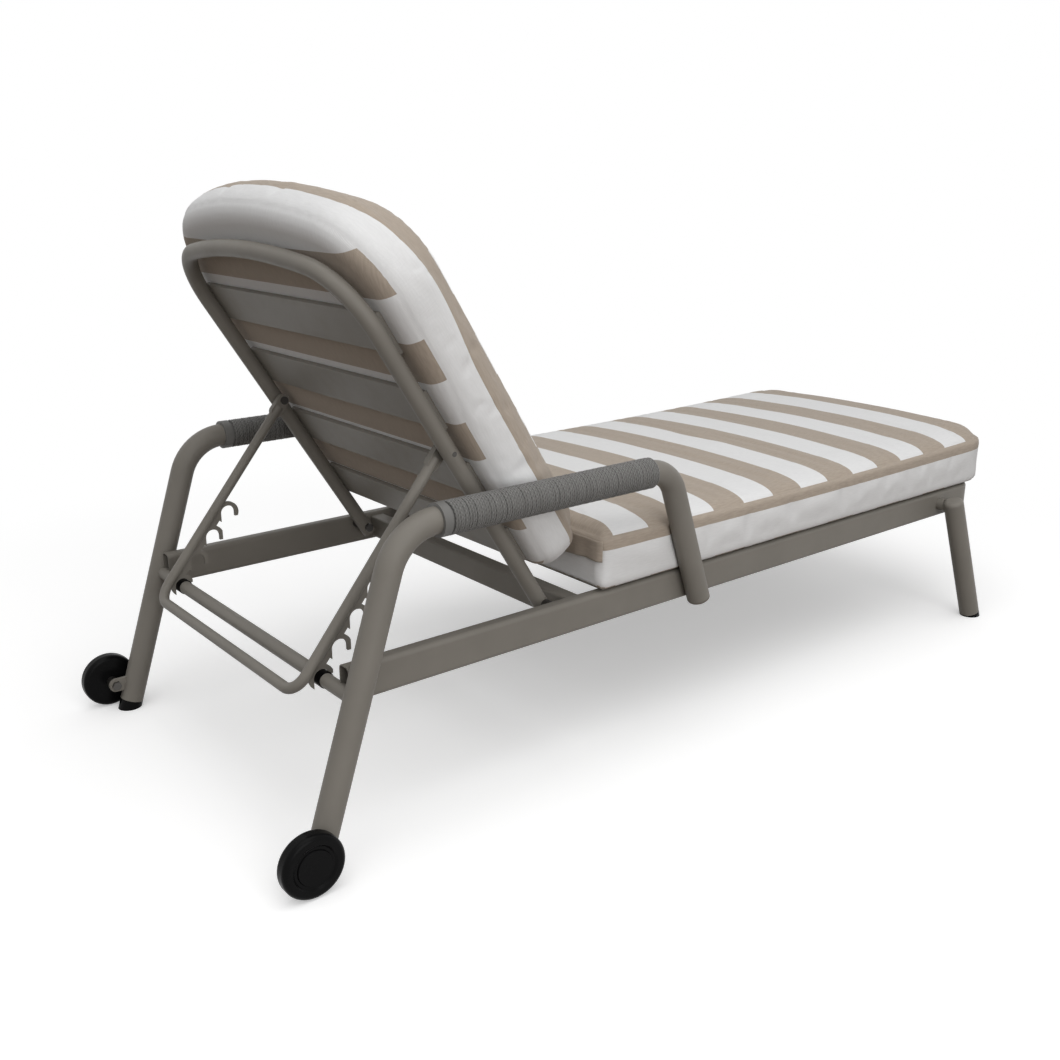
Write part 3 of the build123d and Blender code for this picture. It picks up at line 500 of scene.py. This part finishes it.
# %% Sew the form
def sewn_form(name, size, voxel, every=4, rings=60):
    """A closed form: the lower panel from its middle outwards, the side along its section, and the upper panel
    back to its middle. A panel's ring is the plan shrunk towards its middle, and its rise follows the inset."""
    edge, inward, _ = plan(size)
    rim, inward, wall = edge[::every], inward[::every], section(size)[::every]
    middle = np.array([size["length"] / 2, 0.0])
    shrink = np.linspace(0.02, 1, rings, endpoint=False)[:, None, None]
    low_flat = middle + shrink * (rim + inward * wall[0, 0] - middle)
    top_flat = (middle + shrink * (rim + inward * wall[-1, 0] - middle))[::-1]
    inset = nearest(top_flat.reshape(-1, 2), edge)[1].reshape(top_flat.shape[:2])
    run = np.minimum(top_flat[..., 0], size["length"] - top_flat[..., 0])
    rise = panel_rise(size, inset, size["half"] - np.abs(top_flat[..., 1]), run)
    side = rim + inward * wall[:, :1, None]
    grid = np.concatenate([np.dstack([low_flat, np.zeros(low_flat.shape[:2])]),
                           np.dstack([side, np.broadcast_to(wall[:, 1:2], side.shape[:2])]),
                           np.dstack([top_flat, rise])])
    form = outward(skinned(name + "_form", grid))
    even = form.modifiers.new("even", "REMESH")
    even.mode, even.voxel_size = "VOXEL", voxel
    mesh = bpy.data.meshes.new_from_object(form.evaluated_get(bpy.context.evaluated_depsgraph_get()))
    bpy.data.objects.remove(form)
    mesh.name = name
    piece = bpy.data.objects.new(name, mesh)
    scene.collection.objects.link(piece)
    return piece


def read(mesh, normals=False):
    """The mesh's points, or the directions in which its surface faces there, as an array with three columns."""
    flat = np.empty(len(mesh.vertices) * 3, np.float32)
    if normals:
        mesh.vertex_normals.foreach_get("vector", flat)
    else:
        mesh.vertices.foreach_get("co", flat)
    return flat.reshape(-1, 3).astype(float)


def write(mesh, points):
    """Puts moved points back into the mesh."""
    mesh.vertices.foreach_set("co", points.astype(np.float32).ravel())
    mesh.update()


def note(mesh, name, values):
    """Keeps one number for each point of the mesh under a name that a material can read."""
    layer = mesh.attributes.get(name) or mesh.attributes.new(name, "FLOAT", "POINT")
    layer.data.foreach_set("value", values.astype(np.float32))


def noted(mesh, name):
    """The numbers kept under a name."""
    values = np.empty(len(mesh.vertices), np.float32)
    mesh.attributes[name].data.foreach_get("value", values)
    return values.astype(float)


def girth_line(size, reach=0.34):
    """The whole section as inset, rise and length: across the lower panel, up the side, and over the crown."""
    inset = np.linspace(size["top_in"], reach, OVER_STEPS)
    over = np.stack([inset, panel_rise(size, inset, inset, reach)], 1)
    under = np.stack([np.linspace(reach, size["low_in"], UNDER_STEPS), np.zeros(UNDER_STEPS)], 1)
    line = np.concatenate([under, section(size), over])
    length = np.concatenate([[0], np.cumsum(np.hypot(*np.diff(line, axis=0).T))])
    return line, length - length[UNDER_STEPS]


def girth_at(size, rise):
    """The girth at which the side reaches a rise."""
    line, length = girth_line(size)
    side = slice(UNDER_STEPS, UNDER_STEPS + 3 * SIDE_STEPS)
    return float(np.interp(rise, line[side, 1], length[side]))


def mark_pattern(piece, size):
    """Notes for each point: along and across the cushion, round the plan, and girth, the length up the section."""
    points = read(piece.data)
    edge, _, spot = plan(size)
    where, gap = nearest(points[:, :2], edge)
    line, length = girth_line(size)
    at, _ = nearest(np.stack([gap, points[:, 2]], 1), line)
    note(piece.data, "along", points[:, 0])
    note(piece.data, "across", points[:, 1])
    note(piece.data, "round", spot[where])
    note(piece.data, "girth", length[at])


def mark_seams(piece, low, border, top, panel=0.05):
    """Notes the distance up the section from the lower and the upper seam, and the zone: it passes 1 at the lower
    seam, 2 where the boxing strip's border starts and 3 at the upper seam, and grows evenly between them, and by 1
    for each panel's length of cloth beyond them."""
    girth = noted(piece.data, "girth")
    zone = 1 + np.minimum(0, girth - low) / panel + np.clip((girth - low) / (border - low), 0, 1)
    zone += np.clip((girth - border) / (top - border), 0, 1) + np.maximum(0, girth - top) / panel
    note(piece.data, "to_low", girth - low)
    note(piece.data, "to_top", girth - top)
    note(piece.data, "zone", zone)


print("sewing ready")

# %% [markdown]
# ## Stuffing
#
# Cloth over foam bulges between its seams and wrinkles beside them. The form is drawn in a little, its seams and
# its resting face are held still, and Blender's cloth blows up the rest for twenty frames. The foam holds the
# cushion's form, so only the wrinkles of the cloth are kept, and a limit keeps every point near the pattern.

# %% Blow up the cloth
HELD_WIDTH, SIDE_EASE, CROWN_EASE, LAST_FRAME = 0.004, 0.03, 0.12, 20


def slackness(piece, side, crown):
    """How far each point starts inside the pattern: little at the seams, more between them, most at the crown."""
    low, top = noted(piece.data, "to_low"), noted(piece.data, "to_top")
    wall = side * np.clip(np.minimum(np.abs(low), np.abs(top)) / SIDE_EASE, 0, 1)
    return np.where(low < 0, 0.0, np.maximum(wall, crown * np.clip(top / CROWN_EASE, 0, 1)))


def wrinkles_of(mesh, strayed, rounds=40):
    """Each point's way from the pattern, less the mean over its neighbourhood: the mean of the points that share
    an edge with it, taken again and again. What is left are the short waves."""
    ends = np.empty(2 * len(mesh.edges), np.int32)
    mesh.edges.foreach_get("vertices", ends)
    one, two = ends.reshape(-1, 2).T
    count = len(strayed)
    meeting = np.bincount(ends, minlength=count)
    short = np.empty_like(strayed)
    for axis, column in enumerate(strayed.T):
        broad = column
        for _ in range(rounds):
            broad = (np.bincount(one, broad[two], count) + np.bincount(two, broad[one], count)) / meeting
        short[:, axis] = column - broad
    return short


def stuffed(piece, slack, pressure=4.0, cap=0.0025, fade=0.020):
    """Starts each point inside the pattern by its slack and runs the cloth, with the seams and the resting panel
    held still. The foam keeps the form, so the pattern takes on only the cloth's wrinkles, which fade towards the
    seams and are capped."""
    mesh = piece.data
    pattern, way = read(mesh), read(mesh, normals=True)
    low, top = noted(mesh, "to_low"), noted(mesh, "to_top")
    gap = np.minimum(np.abs(low), np.abs(top))
    held = (gap < HELD_WIDTH) | (low < 0)
    write(mesh, pattern - way * slack[:, None])
    group = piece.vertex_groups.new(name="held")
    group.add(np.flatnonzero(held).tolist(), 1.0, "REPLACE")
    cloth = piece.modifiers.new("cloth", "CLOTH")
    settings = cloth.settings
    settings.vertex_group_mass = "held"
    settings.use_pressure, settings.uniform_pressure_force = True, pressure
    settings.effector_weights.gravity = 0.0
    settings.quality, settings.mass = 4, 0.3
    settings.tension_stiffness = settings.compression_stiffness = 60.0
    settings.shear_stiffness, settings.bending_stiffness = 20.0, 6.0
    settings.shrink_min = -0.004
    cloth.point_cache.frame_start, cloth.point_cache.frame_end = 1, LAST_FRAME
    for frame_number in range(1, LAST_FRAME + 1):
        scene.frame_set(frame_number)
    strayed = read(piece.evaluated_get(bpy.context.evaluated_depsgraph_get()).data) - pattern
    piece.modifiers.remove(cloth)
    piece.vertex_groups.clear()
    scene.frame_set(1)
    wrinkle = wrinkles_of(mesh, strayed) * np.where(held, 0, 1 - np.exp(-(gap / fade) ** 2))[:, None]
    far = np.linalg.norm(wrinkle, axis=1)
    write(mesh, pattern + wrinkle * np.minimum(1, cap / np.maximum(far, 1e-9))[:, None])
    print(piece.name, len(pattern), "points, wrinkles of", round(1000 * far.mean(), 2), "mm on average")


def finer(piece):
    """One round of subdivision, applied, so that seams a few millimetres wide can be drawn in."""
    smooth = piece.modifiers.new("finer", "SUBSURF")
    smooth.levels = smooth.render_levels = 1
    mesh = bpy.data.meshes.new_from_object(piece, preserve_all_data_layers=True,
                                           depsgraph=bpy.context.evaluated_depsgraph_get())
    piece.modifiers.remove(smooth)
    old, piece.data = piece.data, mesh
    bpy.data.meshes.remove(old)
    mesh.name = piece.name


def draw_in(piece, depths, width=0.0032, start=0.004, reach=0.016):
    """Pulls the cloth in along each seam: a bell curve of the girth's distance from it. Beside the seam the cloth
    gathers: short waves round the plan that fade within a few centimetres, a quarter as high as the seam is
    deep."""
    mesh = piece.data
    points, way = read(mesh), read(mesh, normals=True)
    around = noted(mesh, "round")
    uneven = 0.55 + 0.45 * np.sin(around / 0.087) * np.sin(around / 0.213 + 1.0)
    waves = np.sin(around / 0.0041 + 2.2 * np.sin(around / 0.061)) + 0.6 * np.sin(around / 0.0073 + 0.4)
    shift = np.zeros(len(points))
    for seam, depth in depths.items():
        gap = np.abs(noted(mesh, seam))
        shift -= depth * np.exp(-(gap / width) ** 2)
        shift += depth / 4 * uneven * waves * np.exp(-gap / reach) * (1 - np.exp(-(gap / start) ** 2))
    write(mesh, points + way * shift[:, None])


def settle(piece, origin, along, out):
    """Carries the finished cushion from its pattern to its place: origin + u * along + w * across + n * out."""
    points = read(piece.data)
    axes = np.stack([along, np.cross(out, along), out])
    write(piece.data, np.array(origin) + points @ axes)
    piece.data.shade_smooth()


print("stuffing ready")

# %% [markdown]
# ## Striped canvas
#
# The cloth is woven in broad bands of white and taupe. On the panels the bands run straight across the cushion,
# so a stripe is a matter of how far along a point lies. The boxing strip is cut along a band, white with a taupe
# border under the upper seam, so there it is a matter of girth. The material reads the numbers noted on the
# points. The same weave serves the strip between the cushions.

# %% Stripes as a group, and the canvas
WHITE, TAUPE = (0.80, 0.80, 0.80, 1), (0.410, 0.345, 0.282, 1)
THREADS_PER_METRE, THREAD_DEPTH, THREAD_BUMP = 900.0, 0.0005, 0.35
CLOTH_ROUGH, CLOTH_SHEEN = 0.88, 0.15

broad_stripe, given, wanted = start_group(
    "broad_stripe", {"Along": "Float", "Start": "Float", "Pitch": "Float", "White": "Float"}, {"Mask": "Float"})
turn = sums(broad_stripe, "DIVIDE", sums(broad_stripe, "SUBTRACT", given["Along"], given["Start"]), given["Pitch"])
broad_stripe.links.new(sums(broad_stripe, "LESS_THAN", sums(broad_stripe, "FRACT", turn), given["White"]),
                       wanted["Mask"])


def woven(tree, shader, thread):
    """Gives a shader the weave's bump and the dull sheen of cloth, and returns the threads' tone and the taupe that
    follows it."""
    weave = place(tree, plain_weave, Thread=thread, Threads_per_metre=THREADS_PER_METRE)
    skin = add(tree, "Bump", Strength=THREAD_BUMP, Distance=THREAD_DEPTH, Height=weave["Height"])
    tree.links.new(skin.outputs[0], shader.inputs["Normal"])
    shader.inputs["Roughness"].default_value = CLOTH_ROUGH
    shader.inputs["Sheen Weight"].default_value = CLOTH_SHEEN
    return weave["Tone"], blended(tree, weave["Tone"], toned(TAUPE, 0.90), toned(TAUPE, 1.06))


def canvas(name, stripe):
    """Woven canvas: stripes by start, pitch and share of white on the panels, and a boxing strip that is white up
    to its border. The noted zone is below 1 on the lower panel, 1 to 2 on the white of the boxing strip, 2 to 3 on
    its taupe border, and above 3 on the upper panel."""
    material, tree, shader = start_material(name)
    along, across, around, girth, zone = (add(tree, "Attribute", {"attribute_name": key}).outputs["Fac"]
                                          for key in ("along", "across", "round", "girth", "zone"))
    on_side = sums(tree, "SUBTRACT", sums(tree, "GREATER_THAN", zone, 1.0), sums(tree, "GREATER_THAN", zone, 3.0))
    striped = place(tree, broad_stripe, Along=along, Start=stripe[0], Pitch=stripe[1], White=stripe[2])["Mask"]
    panels = sums(tree, "MULTIPLY", sums(tree, "SUBTRACT", 1.0, on_side), striped)
    white = sums(tree, "MULTIPLY_ADD", on_side, sums(tree, "LESS_THAN", zone, 2.0), panels)
    flat = add(tree, "CombineXYZ", _0=along, _1=across).outputs[0]
    strip = add(tree, "CombineXYZ", _0=around, _1=girth).outputs[0]
    thread = add(tree, "Mix", {"data_type": "VECTOR"})
    for number, value in ((0, on_side), (4, flat), (5, strip)):
        tree.links.new(value, thread.inputs[number])
    tone, tan = woven(tree, shader, thread.outputs[1])
    pale = blended(tree, tone, toned(WHITE, 0.955), WHITE)
    tree.links.new(blended(tree, white, tan, pale), shader.inputs["Base Color"])
    shader.inputs["Specular IOR Level"].default_value = 0.25
    return material


print("canvas ready")

# %% [markdown]
# ## Seat cushion
#
# The long cushion lies on the slats between the arm posts. Its upper panel rolls up from the seam and is nearly
# flat across the middle. The foam is used: it has sunk a little in the middle of its length, and the foot end is
# the thickest. The posts press into its sides.

# %% Make the seat cushion
SEAT = dict(length=1.172, half=0.333, bow=6.0, corner=0.080, low=0.012, low_in=0.002, low_h=0.004, thick=0.083,
            top_in=0.010, top_h=0.014, roll=0.014, roll_in=0.048, end_in=0.030, crown=0.0105, crown_in=0.280)
SEAT_TILT, SEAT_SAG = np.tan(np.radians(0.4)), 0.026
SEAT_AT = (-0.2775, 0.0, 0.2943)
SEAT_SEAMS = (0.0005, 0.0630, 0.083)
SEAT_STRIPES = (0.0745 - SEAT_AT[0], 0.1597, 0.502)
POST_FOOT, POST_RAKE, POST_ROOM, POST_SPREAD = (-0.06205, 0.346, 0.238), np.radians(19.3), 0.0212, 0.026
STRIP_ROOM = 0.0003

seat = sewn_form("seat_cushion_cover", SEAT, 0.006)
mark_pattern(seat, SEAT)
mark_seams(seat, *(girth_at(SEAT, rise) for rise in SEAT_SEAMS))
stuffed(seat, slackness(seat, 0.002, 0.006))
finer(seat)
draw_in(seat, {"to_low": 0.0010, "to_top": 0.0022})
points = read(seat.data)
far = points[:, 0] - SEAT["length"] / 2
points[:, 2] *= 1 + (SEAT_TILT * far + SEAT_SAG * far**2) / (SEAT["thick"] + SEAT["roll"] + SEAT["crown"])
ahead, above = (points[:, axis] + SEAT_AT[axis] - POST_FOOT[axis] for axis in (0, 2))
beside = ahead * np.cos(POST_RAKE) + above * np.sin(POST_RAKE)
room = POST_FOOT[1] - POST_ROOM * np.exp(-(beside / POST_SPREAD) ** 2)
points[:, 1] = np.clip(points[:, 1], -room, room)
points[:, 2] = np.maximum(points[:, 2], 0.0)
points[:, 0] = np.maximum(points[:, 0], STRIP_ROOM)
write(seat.data, points)
settle(seat, SEAT_AT, (1, 0, 0), (0, 0, 1))
seat.data.materials.append(canvas("seat_canvas", SEAT_STRIPES))
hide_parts("seat_cushion")
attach(seat, "frame")
print("seat cushion:", len(seat.data.polygons), "faces")

# %% [markdown]
# ## Back cushion
#
# The back cushion is thicker and rounder, with a bowed head end. Its lower panel lies on the backrest's slats and
# wraps a little way up the side, where its stripes show beside the hoop. The seam climbs a little towards the head
# end, and the border of the boxing strip is widest at the ends and narrowest where the corner starts.

# %% Make the back cushion
BACK = dict(length=0.669, half=0.3195, bow=1.016, corner=0.148, low=0.050, low_in=0.033, low_h=0.038, thick=0.076,
            top_in=0.012, top_h=0.016, roll=0.041, roll_in=0.066, end_in=0.066, crown=0.003, crown_in=0.200)
HINGE, RECLINE, BACK_START, BACK_LIFT = np.array([-0.3555, 0, 0.2745]), np.radians(58.0), 0.052, 0.0195
BACK_TOP_SEAM = 0.150
BACK_STRIPES = (0.0805 - BACK_START, 0.143, 0.514)
up = np.array([-np.cos(RECLINE), 0, np.sin(RECLINE)])
out = np.array([np.sin(RECLINE), 0, np.cos(RECLINE)])

back = sewn_form("back_cushion_cover", BACK, 0.005)
mark_pattern(back, BACK)
along = noted(back.data, "along")
low_seam = 0.024 + 0.009 * eased((along - 0.30) / 0.10)
border = 0.078 + 0.018 * np.exp(-((along - 0.50) / 0.09) ** 2) - 0.011 * eased((along - 0.60) / 0.06)
mark_seams(back, low_seam, border, BACK_TOP_SEAM)
stuffed(back, slackness(back, 0.0015, 0.006))
finer(back)
draw_in(back, {"to_low": 0.0008, "to_top": 0.0022})
points = read(back.data)
points[:, 1] = np.clip(points[:, 1], -BACK["half"], BACK["half"])
points[:, 2] = np.maximum(points[:, 2], 0.0)
points[:, 0] = np.maximum(points[:, 0], 0.0)
write(back.data, points)
settle(back, HINGE + up * BACK_START + out * BACK_LIFT, up, out)
back.data.materials.append(canvas("back_canvas", BACK_STRIPES))
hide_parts("back_cushion")
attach(back, "back_pad")
print("back cushion:", len(back.data.polygons), "faces")

# %% [markdown]
# ## The strip between the cushions
#
# A strip of taupe cloth is sewn to the rear edge of the seat cushion and ties the back cushion to it. It hangs
# over the white boxing and is crumpled, most of all at its ends. It is a sheet over two parameters, along the
# rear edge and down from the seam, with waves that fade towards the sewn edge.

# %% Make the strip
STRIP_TOP, STRIP_DROP, STRIP_T = 0.0825, 0.039, 0.0012
STRIP_PROUD, STRIP_WAVE, STRIP_ACROSS, STRIP_DOWN = 0.0016, 0.0009, 460, 12


def joining_strip():
    """The plan's rear end carried outwards by a wave, and down: the wave is a sum of sines along the edge that
    grows with the drop, and the lower edge rises and falls with it."""
    edge, inward, spot = plan(SEAT)
    reach = SEAT["half"] - SEAT["low"] + 0.5 * SEAT["low"] * np.pi / 2
    signed = np.where(spot > spot[-1] / 2, spot - spot[-1] - spot[1], spot)
    run = np.linspace(-reach, reach, STRIP_ACROSS)
    order = np.argsort(signed)
    base = np.stack([np.interp(run, signed[order], column[order]) for column in (*edge.T, *inward.T)], 1)
    drop = np.linspace(0, 1, STRIP_DOWN)[:, None]
    ends = np.clip((np.abs(run) - 0.22) / 0.08, 0, 1)
    wave = np.sin(run / 0.011 + 1.7 * np.sin(run / 0.047)) + 0.7 * np.sin(run / 0.0063 + 0.9)
    proud = STRIP_PROUD + STRIP_WAVE * (1 + wave * (0.3 + 0.7 * ends)) * (0.25 + 0.75 * drop)
    flat = base[None, :, :2] - base[None, :, 2:] * proud[..., None]
    fall = STRIP_TOP - STRIP_DROP * drop * (1 + 0.05 * np.sin(run / 0.037) - 0.08 * ends)
    return np.dstack([flat, np.broadcast_to(fall, flat.shape[:2])]) + SEAT_AT


grid = joining_strip()
rows, cols = grid.shape[:2]
at = np.arange(rows * cols).reshape(rows, cols)
quads = np.stack([at[:-1, :-1], at[:-1, 1:], at[1:, 1:], at[1:, :-1]], -1).reshape(-1, 4)
mesh = bpy.data.meshes.new("joining_strip")
mesh.from_pydata(grid.reshape(-1, 3).tolist(), [], quads.tolist())
mesh.shade_smooth()
strip = bpy.data.objects.new("joining_strip", mesh)
scene.collection.objects.link(strip)
thick = strip.modifiers.new("thick", "SOLIDIFY")
thick.thickness, thick.offset = STRIP_T, 0.0

strip_canvas, tree, shader = start_material("strip_canvas")
spot = add(tree, "TexCoord").outputs["Object"]
turned = add(tree, "Mapping", Vector=spot, Rotation=(0, np.pi / 2, np.pi / 2)).outputs[0]
tree.links.new(woven(tree, shader, turned)[1], shader.inputs["Base Color"])
mesh.materials.append(strip_canvas)
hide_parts("cushion_join")
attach(strip, "frame")
